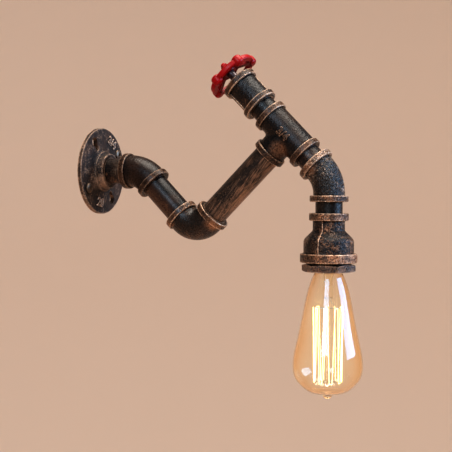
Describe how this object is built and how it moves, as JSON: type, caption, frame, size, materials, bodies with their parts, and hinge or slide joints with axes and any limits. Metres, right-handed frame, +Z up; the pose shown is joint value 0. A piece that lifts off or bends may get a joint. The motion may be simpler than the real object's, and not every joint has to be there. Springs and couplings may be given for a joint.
{
  "type": "industrial pipe wall light",
  "caption": "Wall light built of iron pipe and threaded fittings: a round wall flange, a zigzag arm, a red valve handwheel on the tee and a filament bulb hanging from a bell reducer.",
  "frame": {"origin": "centre of the wall flange's back face, on the wall", "axes": "+Y into the wall, square to the flange's back face; +Z up; the arm reaches out along -Y in the plane x = 0, and the lamp hangs along -Z"},
  "size_m": [0.084, 0.2713, 0.3159],
  "materials": {
    "dark_iron": "dark antiqued iron with worn bronze edges",
    "flange_iron": "dull grey-brown cast iron",
    "red_enamel": "glossy red enamel",
    "zinc_steel": "bright zinc",
    "porcelain": "glazed white porcelain",
    "brass": "pressed brass",
    "blue_sheath": "soft sheath",
    "brown_sheath": "soft sheath",
    "amber_glass": "clear glass with an amber tint",
    "clear_glass": "clear glass",
    "nickelled_cap": "bright cap",
    "black_insulator": "black glass",
    "filament_wire": "glowing filament"
  },
  "bodies": {
    "arm": {"wall_flange": "flange_iron", "flange_nipple": "dark_iron", "wall_elbow": "dark_iron", "lower_nipple": "dark_iron", "bottom_elbow": "dark_iron", "riser_pipe": "dark_iron", "tee": "dark_iron", "elbow_nipple": "dark_iron", "front_elbow": "dark_iron", "handwheel_nipple": "dark_iron", "lamp_nipple": "dark_iron", "valve_coupling": "dark_iron", "stem_plug": "dark_iron", "stem_washer": "zinc_steel", "bell_reducer": "dark_iron", "hex_bushing": "dark_iron", "holder_ring": "zinc_steel", "lampholder_body": "porcelain", "thread_shell": "brass", "centre_contact": "brass", "terminal_blocks": "brass", "terminal_screws": "zinc_steel", "neutral_wire": "blue_sheath", "live_wire": "brown_sheath"},
    "wheel": {"valve_stem": "zinc_steel", "stem_circlip": "zinc_steel", "handwheel": "red_enamel", "wheel_nut": "red_enamel"},
    "bulb": {"bulb_glass": "amber_glass", "bulb_cap": "nickelled_cap", "cap_insulator": "black_insulator", "cap_contact": "zinc_steel", "bulb_stem": "clear_glass", "filament": "filament_wire", "filament_hooks": "zinc_steel", "lead_wires": "zinc_steel"}
  },
  "joints": [
    {"name": "handwheel_turn", "type": "hinge", "parent": "arm", "child": "wheel", "pos_m": [0, -0.14273, 0.08966], "axis": [0, 0.7071, 0.7071], "continuous": true},
    {"name": "bulb_removal", "type": "slide", "parent": "arm", "child": "bulb", "axis": [0, 0, -1], "range_m": [0, 0.04]}
  ]
}
